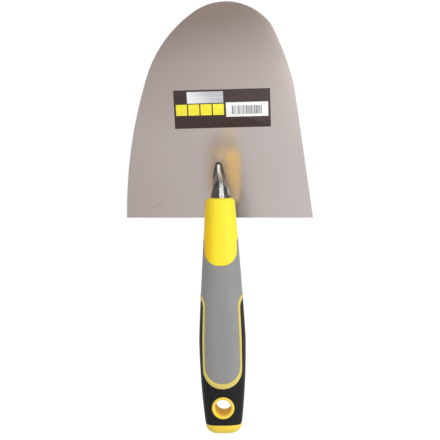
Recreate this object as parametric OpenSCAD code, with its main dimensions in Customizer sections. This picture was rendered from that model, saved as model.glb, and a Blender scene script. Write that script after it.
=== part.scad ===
// Round-nosed mason's trowel: steel blade, welded cranked tang, three-colour soft-grip handle.
// The blade's working face lies on z = 0 and its nose points along +Y. The handle runs back over
// the heel. The origin is on the working face, below the middle of the tang's foot.

/* [Blade] */
// Length of the blade from heel to tip
blade_l = 168.7; // [155:0.1:185]
// Width of the blade across its straight heel
heel_w = 142.8; // [125:0.1:160]
// Thickness of the steel sheet
blade_t = 1.5; // [1:0.1:2.5]
// Distance of the heel behind the middle of the tang's foot
heel_back = 33.3; // [28:0.1:40]
// Sideways place of the heel's middle, to the right of the tang
blade_shift = 0.3; // [-6:0.1:6]
// Sideways place of the tip, to the right of the heel's middle
tip_shift = 10.5; // [6:0.1:16]
// Distance of the left shoulder in from the heel's left end
left_in = 18.9; // [14:0.1:24]
// Distance of the left shoulder behind the tip
left_back = 56.4; // [50:0.1:64]
// Distance of the right shoulder in from the heel's right end
right_in = 15.5; // [10:0.1:20]
// Distance of the right shoulder behind the tip
right_back = 63.2; // [56:0.1:72]
// Half of the nose's width, across its two corners
nose_half = 28.1; // [24:0.1:32]

/* [Label] */
// Length of the label across the blade
label_w = 71.4; // [50:0.1:90]
// Height of the label along the blade
label_h = 29.9; // [20:0.1:40]
// Thickness of the label's film
label_t = 0.15; // [0.1:0.05:0.4]
// Radius of the label's corners
label_r = 0.6; // [0.2:0.1:3]
// Distance of the label's middle ahead of the heel
label_ahead = 88.3; // [75:0.1:110]
// Sideways place of the label's middle, to the right of the heel's middle
label_shift = 2.8; // [-10:0.1:10]
// Turn of the label on the blade, anticlockwise from above
label_turn = 1.5; // [-5:0.1:5]

/* [Tang] */
// Length of the foot that is welded to the blade
foot_l = 24.4; // [20:0.1:34]
// Width of the foot
foot_w = 8.4; // [7:0.1:14]
// Width of the neck where it meets the handle
neck_w = 14.9; // [9:0.1:16]
// Depth of the neck where it meets the handle
neck_d = 12; // [9:0.1:15]
// Sideways place of the neck's upper end, to the right of the handle's axis
neck_shift = 0.45; // [-1:0.05:1]
// Width of the flat that runs up the front of the neck
flat_w = 3.4; // [2:0.1:6]
// Sideways place of the flat at the neck's upper end, to the right of the neck's middle
flat_shift = 0.95; // [-1.5:0.05:1.5]
// Radius of the inner side of the bend between the neck and the handle
bend_in_r = 1; // [0.5:0.1:5]
// Width of the prong inside the handle, at the neck
prong_w = 8; // [5:0.1:9]
// Depth of the prong inside the handle, at the neck
prong_d = 7; // [5:0.1:9]
// Size of the prong's far end, as a part of its size at the neck
prong_taper = 0.6; // [0.4:0.05:1]
// Length of the prong inside the handle
prong_l = 92; // [60:1:125]
// Leg of the weld round the foot
weld_w = 1.2; // [1:0.1:3]

/* [Handle] */
// Height of the handle's axis at its front, above the working face
handle_rise = 48.5; // [42:0.5:60]
// Distance of the handle's front ahead of the foot's middle
handle_ahead = 3.4; // [0:0.1:8]
// Sideways place of the handle's axis, to the right of the foot's middle
handle_shift = 2.2; // [-4:0.1:4]
// Slope of the handle, up towards the butt
handle_tilt = 19; // [10:0.5:26]
// Turn of the tang and handle about the foot's middle, anticlockwise from above
handle_turn = 0.9; // [-3:0.1:3]
// Length of the handle
handle_l = 172; // [160:0.5:190]
// Width of the handle at its front, before the corner is rounded
front_w = 21; // [18:0.1:26]
// Width of the handle at its widest
belly_w = 33.9; // [28:0.1:40]
// Width of the handle at the butt, before the corner is rounded
butt_w = 24.9; // [22:0.1:32]
// Distance of the widest place behind the handle's front
belly_s = 103; // [90:1:120]
// Thickness of the handle at its front
front_d = 20; // [17:0.1:26]
// Thickness of the handle at its thickest
belly_d = 29.5; // [24:0.1:36]
// Thickness of the handle at the butt
butt_d = 22.5; // [18:0.1:30]
// Radius of the rounded corner at the front
front_r = 3.5; // [1:0.1:4.5]
// Radius of the rounded corner at the butt
butt_r = 6; // [3:0.1:8]
// Length of the butt cap
cap_l = 7; // [5:0.5:9]

/* [Grips] */
// Thickness of the soft grips over the core
grip_t = 2.5; // [1.5:0.1:3.5]
// Distance at which the core's collar ends and the grey grip begins
collar_l = 28.5; // [22:0.5:34]
// Width of the collar's tongue
tongue_w = 23.5; // [20:0.5:24]
// Distance at which the collar's tongue ends
tongue_end = 48.2; // [42:0.1:58]
// Distance at which the grey grip ends on the sides and the underside
grey_l = 69; // [64:0.5:76]
// Distance of the grey tongue's edges in from the handle's widest sides, where the tongue begins
panel_front_in = 4.45; // [3.5:0.05:6]
// Distance of the grey tongue's edges in from the handle's widest sides, where it is widest
panel_belly_in = 3.65; // [2.5:0.05:5]
// Distance of the grey tongue's end ahead of the butt
panel_back = 36.2; // [34:0.1:50]
// Radius of the corners at the grey tongue's end
panel_r = 13; // [6:0.5:14]
// Width of the piping ridge along the sides of the grey tongue, seen from above
piping_w = 2; // [1.2:0.1:3]
// Width of the piping ridge round the end of the grey tongue
piping_end_w = 3.8; // [2:0.1:5]

/* [Hang hole] */
// Diameter of the hanging hole
hang_d = 12; // [9:0.1:14]
// Outside diameter of the eyelet round the hole
eyelet_d = 16.1; // [12:0.1:18]
// Distance of the hole ahead of the butt
hang_back = 20.2; // [18:0.1:23]
// How far the eyelet's lip stands out of the handle
lip_out = 0.4; // [0.2:0.1:1]

/* [Hidden] */

// Gap between the eyelet and the hole that it sits in
fit_gap = 0.1;
// Points round a section of the handle
around = 40;
// Distance between sections of the handle
section_step = 7;
// Straight pieces in each arc of the blade's outline
arc_steps = 14;
// Distance of the nose's left and right corners behind the tip
nose_left_back = 7.8;
nose_right_back = 16.4;
// How far each curve of the outline rises over its chord, from the left end of the heel on
left_bow = 4.1;
left_shoulder_bow = 4.8;
nose_left_bow = 2.7;
nose_right_bow = 3.3;
right_shoulder_bow = 1.5;
// Length of the prong that is one with the neck
prong_root_l = 4;
// Radius of the prong's long edges
prong_edge_r = 1;
// Height of the weld at its outer edge, and its overlap on the foot at its top
weld_h = 0.2;
// Half of a block that is larger than the handle, for cutting it
far = 60;

heel_y = -heel_back;
tip_y = heel_y + blade_l;
heel_left = blade_shift - heel_w / 2;
heel_right = blade_shift + heel_w / 2;
tip_x = blade_shift + tip_shift;
cap_s = handle_l - cap_l;
// Radius of the grey tongue's shoulders, where it leaves the sides
shoulder_r = 4;
// Radius of the corners of the collar's tongue
tongue_r = 10;
// Straight length of the grey tongue, before it begins to widen
panel_straight = 11;
panel_start = grey_l + panel_straight;
panel_front_w = belly_w - 2 * panel_front_in;
panel_belly_w = belly_w - 2 * panel_belly_in;
panel_end = handle_l - panel_back;
hang_s = handle_l - hang_back;
// Radius of the small corners that the tongues spring from
root_r = 2;

// The blade's corners, clockwise from the left end of the heel, each with the rise of the curve
// that leads on to the next one.
OUTLINE = [
    [heel_left, heel_y, left_bow],
    [heel_left + left_in, tip_y - left_back, left_shoulder_bow],
    [tip_x - nose_half, tip_y - nose_left_back, nose_left_bow],
    [tip_x, tip_y, nose_right_bow],
    [tip_x + nose_half, tip_y - nose_right_back, right_shoulder_bow],
    [heel_right - right_in, tip_y - right_back, 0],
    [heel_right, heel_y, 0],
];

function mix(a, b, t) = a + (b - a) * t;

// Points on the arc from p to q that rises h to the left of the line between them, without q.
function arc_points(p, q, h) =
    let (chord = [q[0] - p[0], q[1] - p[1]],
         len = norm(chord),
         side = [-chord[1], chord[0]] / len,
         r = h == 0 ? 0 : (len * len / 4 + h * h) / (2 * h),
         middle = [p[0] + q[0], p[1] + q[1]] / 2,
         half_turn = h == 0 ? 0 : asin(len / 2 / r))
    h == 0 ? [[p[0], p[1]]] :
    [for (i = [0:arc_steps - 1])
        let (turn = half_turn * (2 * i / arc_steps - 1))
        middle + side * (r * cos(turn) - r + h) + chord / len * r * sin(turn)];

// ---- handle profile, along its own axis ----

// How soon the handle swells behind its front: 1 is straight, 2 is a parabola.
swell_power = 1.15;
// The section's shape, from a rounded oval at the front to a squarer one at the butt: 2 is an
// ellipse.
front_power = 2.2;
butt_power = 3;

// Half of a size that swells from front to belly and falls to butt, at distance s.
function swell(s, front, belly, butt) =
    s < belly_s
    ? (belly - (belly - front) * pow(1 - s / belly_s, swell_power)) / 2
    : (belly - (belly - butt) * pow((s - belly_s) / (handle_l - belly_s), 2)) / 2;

// How far a corner of radius r draws the surface in, at distance d from the end.
function corner(d, r) = d >= r ? 0 : r - sqrt(max(0, r * r - (r - d) * (r - d)));

function inset_at(s) = corner(s, front_r) + corner(handle_l - s, butt_r);

function squareness(s) = mix(front_power, butt_power, s / handle_l);

function signed_pow(v, e) = sign(v) * pow(abs(v), e);

// Section of the handle at s, drawn in by depth.
function section(s, depth) =
    let (e = 2 / squareness(s),
         half_w = max(1, swell(s, front_w, belly_w, butt_w) - inset_at(s) - depth),
         half_d = max(1, swell(s, front_d, belly_d, butt_d) - inset_at(s) - depth))
    [for (i = [0:around - 1])
        let (a = 360 * (i + 0.5) / around)
        [half_w * signed_pow(cos(a), e), half_d * signed_pow(sin(a), e)]];

// Distances of all the handle's sections. Every piece uses the same ones, so that neighbours meet.
STATIONS = concat(
    [for (k = [0:3]) front_r * (1 - cos(30 * k))],
    [for (s = [section_step:section_step:cap_s - 1]) s],
    [for (k = [9:-1:0]) handle_l - cap_l * (1 - cos(10 * k))]);

// Faces of a solid whose points are rings of n points each, one ring after another.
function ring_faces(n, rings) = concat(
    [[for (i = [0:n - 1]) i]],
    [[for (i = [n - 1:-1:0]) (rings - 1) * n + i]],
    [for (k = [0:rings - 2], i = [0:n - 1])
        each [[k * n + i, (k + 1) * n + i, k * n + (i + 1) % n],
              [k * n + (i + 1) % n, (k + 1) * n + i, (k + 1) * n + (i + 1) % n]]]);

function section_ring(s, depth) = [for (p = section(s, depth)) [p[0], p[1], s]];

// Solid through the sections from one distance to another, drawn in by depth.
module loft(from, to, depth = 0) {
    list = [for (s = STATIONS) if (s > from - 0.01 && s < to + 0.01) s];
    for (i = [0:len(list) - 2])
        hull()
            polyhedron(
                points = concat(section_ring(list[i], depth), section_ring(list[i + 1], depth)),
                faces = ring_faces(around, 2));
}

// Places a child that is drawn along its own +Z, with its top towards +Y, on the handle's axis.
module on_handle() {
    rotate([0, 0, handle_turn])
        translate([handle_shift, handle_ahead, handle_rise])
            rotate([90 - handle_tilt, 0, 0])
                children();
}

// Block over a plan of the handle, above or below its middle plane.
module plan_block(upper) {
    rotate([90, 0, 0])
        translate([0, 0, upper ? -far : 0])
            linear_extrude(far)
                children();
}

// Plan of everything ahead of distance s.
module plan_ahead(s) {
    translate([-far, -far])
        square([2 * far, far + s]);
}

// Plan of the collar with its round tongue.
module collar_plan() {
    offset(r = -root_r, $fn = 24)
        offset(delta = root_r) {
            plan_ahead(collar_l);
            hull()
                for (side = [-1, 1]) {
                    translate([side * (tongue_w / 2 - tongue_r), tongue_end - tongue_r])
                        circle(tongue_r, $fn = 36);
                    translate([side * (tongue_w / 2 - root_r), collar_l - 2 * root_r])
                        circle(root_r, $fn = 16);
                }
        }
}

// Plan of the grey grip with its long tongue: edge is -1 at the piping's inner side, 1 at its
// outer side.
module panel_plan(edge) {
    side_out = edge * piping_w / 2;
    end_r = panel_r + side_out;
    end_s = panel_end + edge * piping_end_w / 2;
    offset(r = -shoulder_r, $fn = 36)
        offset(delta = shoulder_r) {
            plan_ahead(grey_l + side_out);
            hull() {
                translate([0, belly_s])
                    circle(d = panel_belly_w + 2 * side_out, $fn = 72);
                for (side = [-1, 1]) {
                    for (s = [grey_l - 2 * root_r, panel_start])
                        translate([side * (panel_front_w / 2 + side_out - root_r), s])
                            circle(root_r, $fn = 16);
                    translate([side * (panel_belly_w / 2 + side_out - end_r), end_s - end_r])
                        circle(end_r, $fn = 48);
                }
            }
        }
}

// Space of the collar: its tongue on top, a straight edge below.
module collar_space() {
    plan_block(true)
        collar_plan();
    plan_block(false)
        plan_ahead(collar_l);
}

// Space ahead of the piping's inner edge, -1, or of its outer edge, 1.
module grey_space(edge) {
    plan_block(true)
        panel_plan(edge);
    plan_block(false)
        plan_ahead(grey_l + edge * piping_w / 2);
}

module eyelet_hole() {
    translate([0, -far, hang_s])
        rotate([-90, 0, 0])
            cylinder(h = 2 * far, r = eyelet_d / 2 + fit_gap, $fn = 48);
}

// The prong starts inside the neck's end and tapers towards the butt.
module prong() {
    translate([0, 0, -prong_root_l])
        linear_extrude(height = prong_root_l + prong_l, scale = prong_taper)
            offset(r = prong_edge_r, $fn = 16)
                square([prong_w - 2 * prong_edge_r, prong_d - 2 * prong_edge_r], center = true);
}

// ---- neck of the tang ----

neck_steps = 18;
// Part of the neck's length that comes before its bend
rise_share = 0.6;
// Where the two middle points of the neck's S stand, as parts of its height
low_share = 0.4;
high_share = 0.6;
// Part of the neck's length over which it leans aside to the handle's axis
lean_share = 0.8;
neck_from = [0, blade_t];
neck_to = [handle_ahead, handle_rise];
bend_r = neck_d / 2 + bend_in_r;
bend_middle = neck_to - bend_r * [sin(handle_tilt), cos(handle_tilt)];
bend_from = bend_middle + [bend_r, 0];
rise_z = bend_from[1] - blade_t;

// The neck's middle line in side view: an upright S, then a bend back to the handle's axis.
function rise_point(t) =
    let (a = pow(1 - t, 3) + 3 * t * pow(1 - t, 2),
         up = 3 * t * pow(1 - t, 2) * low_share + 3 * t * t * (1 - t) * high_share + pow(t, 3))
    [mix(bend_from[0], neck_from[0], a), neck_from[1] + rise_z * up];

function rise_dir(t) =
    let (d = rise_point(min(1, t + 0.01)) - rise_point(max(0, t - 0.01)))
    t <= 0 || t >= 1 ? [0, 1] : d / norm(d);

function bend_angle(t) = (90 - handle_tilt) * (t - rise_share) / (1 - rise_share);

function neck_point(t) =
    t < rise_share
    ? rise_point(t / rise_share)
    : bend_middle + bend_r * [cos(bend_angle(t)), sin(bend_angle(t))];

function neck_dir(t) =
    t < rise_share
    ? rise_dir(t / rise_share)
    : [-sin(bend_angle(t)), cos(bend_angle(t))];

// Sideways place of the neck's middle.
function neck_aside(t) =
    let (u = min(1, t / lean_share))
    (handle_shift + neck_shift) * u * u * (3 - 2 * u);

// Edges of the neck's section behind its front flat, down to its back: each as a part of the
// half width, measured from the front flat's edge, and as a part of the half depth.
NECK_EDGES = [[0.62, 0.55], [1, 0.05], [0.96, -0.45], [0.6, -0.82], [0, -1]];

// Half section of the neck, from the edge of its front flat to its back, for a half width and
// half depth.
function neck_half(edge, hw, hd) =
    [[edge, hd], for (e = NECK_EDGES) [mix(edge, hw, e[0]), e[1] * hd]];

// Section of the neck, with its front flat moved aside.
function neck_section(hw, hd, aside = 0) =
    let (left = neck_half(flat_w / 2 - aside, hw, hd),
         right = neck_half(flat_w / 2 + aside, hw, hd))
    concat([for (c = left) [-c[0], c[1]]], [for (i = [len(right) - 1:-1:0]) right[i]]);

// Ring of points on the neck: the front of the section faces the nose, then the top.
function neck_ring(t) =
    let (p = neck_point(t),
         d = neck_dir(t),
         hw = mix(foot_w, neck_w, pow(t, 1.8)) / 2,
         hd = mix(neck_d, foot_l, pow(max(0, 1 - t / rise_share), 3)) / 2)
    [for (c = neck_section(hw, hd, flat_shift * t))
        [neck_aside(t) + c[0], p[0] + d[1] * c[1], p[1] - d[0] * c[1]]];

module neck() {
    n = len(neck_section(1, 1));
    rotate([0, 0, handle_turn])
        polyhedron(
            points = [for (k = [0:neck_steps]) each neck_ring(k / neck_steps)],
            faces = ring_faces(n, neck_steps + 1));
}

// ---- pieces ----

module blade() {
    color([0.69, 0.65, 0.62])
        linear_extrude(blade_t)
            polygon([for (i = [0:len(OUTLINE) - 2]) each arc_points(OUTLINE[i], OUTLINE[i + 1],
                                                                    OUTLINE[i][2]),
                     [heel_right, heel_y]]);
}

module label() {
    color([0.13, 0.11, 0.1])
        translate([blade_shift + label_shift, heel_y + label_ahead, blade_t])
            rotate([0, 0, label_turn])
                linear_extrude(label_t)
                    offset(r = label_r, $fn = 24)
                        square([label_w - 2 * label_r, label_h - 2 * label_r], center = true);
}

module weld_bead() {
    foot = neck_section(foot_w / 2, foot_l / 2);
    color([0.45, 0.42, 0.4])
        translate([0, 0, blade_t])
            rotate([0, 0, handle_turn])
                difference() {
                    hull() {
                        linear_extrude(weld_h)
                            offset(r = weld_w, $fn = 16)
                                polygon(foot);
                        linear_extrude(weld_w)
                            offset(r = weld_h, $fn = 16)
                                polygon(foot);
                    }
                    linear_extrude(height = 4 * weld_w, center = true)
                        polygon(foot);
                }
}

module tang() {
    color([0.55, 0.53, 0.52]) {
        neck();
        on_handle()
            prong();
    }
}

module handle_core() {
    color([0.98, 0.85, 0.15])
        on_handle()
            difference() {
                union() {
                    loft(0, cap_s, grip_t);
                    intersection() {
                        loft(0, cap_s);
                        collar_space();
                    }
                    intersection() {
                        loft(0, cap_s);
                        difference() {
                            grey_space(1);
                            grey_space(-1);
                        }
                    }
                }
                prong();
                eyelet_hole();
            }
}

module grey_grip() {
    color([0.6, 0.6, 0.6])
        on_handle()
            difference() {
                intersection() {
                    loft(0, cap_s);
                    grey_space(-1);
                }
                loft(0, handle_l, grip_t);
                collar_space();
            }
}

module black_grip() {
    color([0.16, 0.15, 0.17])
        on_handle()
            difference() {
                loft(0, cap_s);
                loft(0, handle_l, grip_t);
                grey_space(1);
                eyelet_hole();
            }
}

module hang_eyelet() {
    half_l = swell(hang_s, front_d, belly_d, butt_d) + lip_out;
    wall = (eyelet_d - hang_d) / 2;
    lip_r = 0.45 * wall;
    color([0.98, 0.85, 0.15])
        on_handle()
            translate([0, 0, hang_s])
                rotate([-90, 0, 0])
                    rotate_extrude($fn = 64) {
                        translate([hang_d / 2, -half_l + lip_r])
                            square([wall, 2 * half_l - 2 * lip_r]);
                        translate([hang_d / 2 + lip_r, -half_l])
                            square([wall - 2 * lip_r, 2 * half_l]);
                        for (side = [-1, 1], place = [lip_r, wall - lip_r])
                            translate([hang_d / 2 + place, side * (half_l - lip_r)])
                                circle(lip_r, $fn = 32);
                    }
}

module butt_cap() {
    color([0.95, 0.82, 0.2])
        on_handle()
            loft(cap_s, handle_l);
}

blade();
label();
weld_bead();
tang();
handle_core();
grey_grip();
black_grip();
hang_eyelet();
butt_cap();
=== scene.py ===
import math
from functools import reduce

import bmesh
import bpy
import numpy as np
from mathutils import Matrix, Vector
from mathutils.geometry import delaunay_2d_cdt


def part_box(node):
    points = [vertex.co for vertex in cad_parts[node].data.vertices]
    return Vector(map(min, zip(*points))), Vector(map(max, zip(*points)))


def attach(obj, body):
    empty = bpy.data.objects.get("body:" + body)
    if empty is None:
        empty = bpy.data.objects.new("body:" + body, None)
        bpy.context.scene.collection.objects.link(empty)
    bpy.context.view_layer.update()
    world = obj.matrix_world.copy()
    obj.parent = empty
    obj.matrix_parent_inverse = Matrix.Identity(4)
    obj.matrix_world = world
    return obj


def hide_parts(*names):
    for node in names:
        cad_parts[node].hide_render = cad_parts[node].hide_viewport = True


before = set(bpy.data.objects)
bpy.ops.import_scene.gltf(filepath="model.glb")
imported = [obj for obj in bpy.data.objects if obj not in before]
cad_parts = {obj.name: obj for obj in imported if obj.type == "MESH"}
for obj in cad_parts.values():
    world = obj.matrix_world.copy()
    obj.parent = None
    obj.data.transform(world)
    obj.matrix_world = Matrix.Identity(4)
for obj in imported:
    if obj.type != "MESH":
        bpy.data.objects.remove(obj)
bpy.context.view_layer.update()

# Sizes are in millimetres here, and meshes are made in metres. A handle's s is the distance along
# it from its front end.
MM = 0.001

# ---- the handle's shape ----

# Where its front end stands, and how it leans and turns
HANDLE_RISE = 48.5
HANDLE_AHEAD = 3.4
HANDLE_SHIFT = 2.2
HANDLE_TILT = math.radians(19)
HANDLE_TURN = math.radians(0.9)
HANDLE_L = 172.0
# Width and depth at the front end, at the belly and at the butt
FRONT_W, BELLY_W, BUTT_W = 21.0, 33.9, 24.9
FRONT_D, BELLY_D, BUTT_D = 20.0, 29.5, 22.5
BELLY_S = 103.0
FRONT_R, BUTT_R = 3.5, 6.0
CAP_S = 165.0
SWELL_POWER = 1.15
# How square its section is at each end: 2 is an ellipse
FRONT_POWER, BUTT_POWER = 2.2, 3.0
GRIP_T = 2.5

# ---- the seams between its materials ----

COLLAR_L = 28.5
TONGUE_W, TONGUE_END, TONGUE_R = 23.5, 48.2, 10.0
GREY_L = 69.0
PANEL_FRONT_W, PANEL_BELLY_W = BELLY_W - 8.4, BELLY_W - 6.8
PANEL_START, PANEL_END, PANEL_R = 80.0, 135.8, 13.0
SHOULDER_R, ROOT_R = 8.0, 2.0
PIPING_W, PIPING_END_W = 1.5, 3.8
# Height of the piping over the grips, and how far the edges of each material are rounded
PIPING_PROUD = 0.4
PIPING_EDGE = 0.15
PIPING_POWER = 0.6
SOFT_EDGE_R = 0.4
HARD_EDGE_R = 0.25
# The butt cap: how far its skin is drawn in, its edge's rounding and rows, and its sides
CAP_IN = 0.03
CAP_EDGE_R = 0.35
CAP_EDGE_ROWS = (0.0, 0.04, 0.12, 0.22, 0.35)
CAP_SIDES = 96
# Rings on its flat end, as shares of the outermost one
CAP_END_SHARES = (0.85, 0.6, 0.3)

# ---- the hanging hole ----

HANG_S, HANG_R, EYELET_R = 151.8, 6.0, 8.05
# The gap round the eyelet in its seat, and how near the seat's edge lies to the hole's middle
EYELET_GAP = 0.1
HOLE_REACH = 12
EYELET_STEPS = 112
# How far from the hole's wall the bore's brighter yellow, painted light, reaches, and how far it ends
# below the skin
BORE_REACH, BORE_SHORT = 0.25, 0.3

# ---- how the skin is meshed ----

# The skin is laid out flat for cutting: across = ACROSS * angle, along = s. It is slit along
# one line low on the right side, where every seam runs straight across.
ACROSS = 14.0
SLIT = math.radians(-35)
SLIT_NEAR, SLIT_FAR = SLIT * ACROSS, (SLIT + 2 * math.pi) * ACROSS
SKIN_ROWS, SKIN_COLUMNS = 130, 81
# How far the even grid stays from a seam and from the hole, and the finer lines between
SEAM_CLEAR, HOLE_CLEAR = 1.35, 1.3
FINE_GAPS = [0.12, 0.28, 0.5, 0.85]
# Where lines run along the piping, as shares of its width
PIPING_SHARES = [0.06, 0.15, 0.28, 0.42, 0.58, 0.72, 0.85, 0.94]
# Points on each line of a seam's plan, and below it from the slit to the right side and from the
# left side to the slit
LEG_POINTS, BELOW_RIGHT_POINTS, BELOW_LEFT_POINTS = 60, 14, 48
# How far a seam's ease reaches below the sides, and its rounds of smoothing
SIDE_EASE = 3
SEAM_SMOOTHING = 6
# A place ahead of the whole skin
AHEAD_OF_ALL = -9.0
# The steps round it and along it for taking a direction on the skin
PHI_STEP, RUN_STEP = 1e-3, 0.02
# The regions that the seams cut the skin into
IN_COLLAR, IN_GREY, IN_PIPING, IN_BLACK, IN_HOLE = range(5)

# ---- blade, tang and weld ----

# The blade's thickness, how far its edges are broken, and the least turn of those edges
BLADE_T, BLADE_EDGE, RIM_TURN = 1.5, 0.18, 1.2
FOOT_L, FOOT_W = 24.4, 8.4
NECK_W, NECK_D, NECK_SHIFT = 14.9, 12.0, 0.45
FLAT_FOOT_W, FLAT_TOP_W, FLAT_SHIFT = 3.0, 4.0, 0.95
BEND_R = NECK_D / 2 + 1
# The neck rises over this share of its length and then bends back into the handle. It moves
# aside over the next share, and the last two set how its rise is curved.
RISE_SHARE = 0.6
LEAN_SHARE = 0.8
LOW_SHARE, HIGH_SHARE = 0.4, 0.6
# The powers by which the neck widens upwards and its foot draws in
NECK_WIDEN, FOOT_DRAW = 1.8, 3
# The corners of its section behind the front flat: how far out each is, from the flat's edge at
# 0 to the full half width at 1, and how far ahead, as a share of the half depth
NECK_EDGES = [(0.62, 0.55), (1, 0.05), (0.96, -0.45), (0.6, -0.82), (0, -1)]
NECK_EDGE_CUT = 0.45
NECK_STEPS = 72
# The face of the neck's right shoulder that takes the bright flat's finish as a painted highlight, and
# where along the neck
HIGHLIGHT_FACE, HIGHLIGHT_FROM, HIGHLIGHT_TO = 5, 0.68, 0.93
PRONG_W, PRONG_D, PRONG_L, PRONG_TAPER = 8.0, 7.0, 92.0, 0.6
PRONG_ROOT = 4.0
PRONG_POWER = 6
PRONG_SIDES = 32
# The pocket for the prong: its gap all round, its wider mouth, and how much deeper it is
POCKET_GAP, POCKET_LEAD_IN, POCKET_OVER = 0.1, 1.6, 0.2
# How far the weld's middle line lies outside the foot, sideways and along, and over the blade
WELD_OUT_X, WELD_OUT_Y, WELD_UP = 0.12, 0.1, 0.16
WELD_POINTS, WELD_SMOOTHING = 90, 3

# ---- label ----

LABEL_W, LABEL_H, LABEL_T, LABEL_R = 71.4, 29.9, 0.15, 0.6
# How far its top edge is drawn in, and the thickness of its bars' ink
LABEL_EDGE = 0.03
INK_T = 0.012
LABEL_TURN = math.radians(1.5)
# Its print, as shares of its length and height: left, right, low and high edge
SILVER_PANEL = (0.139, 0.514, 0.655, 0.955)
SILVER_RULE = (0.798, 0.812)
SQUARES = (0.0135, 0.5235, 0.34, 0.628)
SQUARE_COUNT = 4
WHITE_PANEL = (0.539, 0.977, 0.284, 0.659)
BARS = (0.606, 0.903, 0.35, 0.572)
BAR_COUNT = 19

# ---- marks on the blade: middle and half sizes, and strength ----

# Painted reflection of the yellow collar in the sheet, in pale gold, beside the weld and ahead of it
PAINTED_COLLAR_REFLECTION = [(4, 19, 14, 15, 0.5), (-6.5, -2, 4, 22, 0.35), (14, 2, 6, 27, 0.35),
             (7, 6, 7, 18, 0.5), (8, 36, 13, 16, 0.22)]
# Where the heat has dulled the sheet
HEAT_DULL = [(3, 12, 24, 44, 1)]
# A film of grease behind the tang, on its right
GREASE = [(17, -26, 9, 18, 0.42)]
# Places that hands and grit have rubbed
HANDLING_MARKS = [(-51, -24, 9, 2.2, 1), (-45, -21, 5, 1.6, 1), (4, 118, 8, 3, 1),
                  (12, 70, 2.5, 7, 1), (36, 92, 6, 2, 1)]
# A stripe of the same painted reflection right of the tang: its left, right, rear and front edge
REFLECTION_STRIPE = (8.0, 16.0, -22, 22)
STRIPE_STRENGTH = 0.5
# How much the weld has drawn the sheet out of level, as a slope towards the right
SHEET_PULL = 0.04

# ---- floor, lamps and camera, in metres ----

FLOOR_REACH, FLOOR_DOWN = 3.0, 0.00005
# How pale the floor is as a source of bounced light, and what the camera sees: its own shade
# and the glow that is added to it
FLOOR_PALE, FLOOR_SHADE, FLOOR_GLOW = 0.8, 0.3, 0.8
# The room's strength as a light, and as the camera sees it
ROOM_LIGHT, ROOM_WHITE = 0.5, 1.0
# Each lamp's place, width and watts
KEY_LAMP = ((0.95, 0.35, 1.0), 1.4, 12.2)
FRONT_LAMP = ((-0.3, 1.05, 0.85), 1.2, 4.0)
LAMP_AIM = (0.0, -0.02, 0.03)
CAMERA_AIM = (0.000307, -0.035852, 0.0)
CAMERA_AHEAD = (-0.029987, -0.406554, -0.913135)
CAMERA_TILT = math.radians(24)
CAMERA_DISTANCE = 1.0
CAMERA_LENS = 106.36


# ======== small tools ========

def paint(red, green, blue):
    """A paint-chart colour from 0 to 255 as the linear colour that a shader takes."""
    made = []
    for part in (red, green, blue):
        c = part / 255
        made.append(c / 12.92 if c <= 0.04045 else ((c + 0.055) / 1.055) ** 2.4)
    return (*made, 1.0)


class Nodes:
    """Ways to build one node tree. Each value may be a constant or another node's socket."""

    def __init__(self, tree):
        self.tree = tree

    def add(self, kind, values=None, **settings):
        """A node with its settings, and its inputs set to values. It returns its outputs."""
        made = self.tree.nodes.new(kind)
        for key, value in settings.items():
            setattr(made, key, value)
        for key, value in (values or {}).items():
            self.feed(made.inputs[key], value)
        return made.outputs

    def feed(self, socket, value):
        """Sets a socket to a constant, or joins it to another socket."""
        if isinstance(value, bpy.types.NodeSocket):
            self.tree.links.new(value, socket)
        else:
            socket.default_value = value

    def math(self, operation, first, second=0.0, clamp=False):
        return self.add("ShaderNodeMath", {0: first, 1: second}, operation=operation,
                        use_clamp=clamp)[0]

    def sum(self, *values):
        return reduce(lambda total, value: self.math("ADD", total, value), values)

    def product(self, *values):
        return reduce(lambda total, value: self.math("MULTIPLY", total, value), values)

    def parts(self, vector):
        """The X, Y and Z of a vector."""
        return tuple(self.add("ShaderNodeSeparateXYZ", {"Vector": vector}))

    def ramp(self, value, low, high, to_low=0.0, to_high=1.0, smooth=True):
        """value between low and high, eased to the range from to_low to to_high."""
        kind = "SMOOTHSTEP" if smooth else "LINEAR"
        values = {"Value": value, "From Min": low, "From Max": high, "To Min": to_low,
                  "To Max": to_high}
        return self.add("ShaderNodeMapRange", values, interpolation_type=kind)[0]

    def band(self, value, low, high, soft):
        """1 between low and high, with edges soft wide on both sides."""
        rise = self.ramp(value, low - soft, low + soft)
        return self.product(rise, self.ramp(value, high - soft, high + soft, 1.0, 0.0))

    def mix(self, factor, first, second):
        """The first colour where factor is 0, and the second where it is 1."""
        return self.add("ShaderNodeMix", {"Factor": factor, 6: first, 7: second}, data_type="RGBA")[2]

    def bump(self, height, strength, distance):
        return self.add("ShaderNodeBump",
                        {"Height": height, "Strength": strength, "Distance": distance})[0]

    def seen_directly(self):
        """1 where the camera sees it, straight or in gloss, and 0 for the light that it casts."""
        ray = self.add("ShaderNodeLightPath")
        seen = self.math("MAXIMUM", ray["Is Camera Ray"], ray["Is Glossy Ray"])
        return self.math("MAXIMUM", seen, ray["Is Transmission Ray"])


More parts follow.
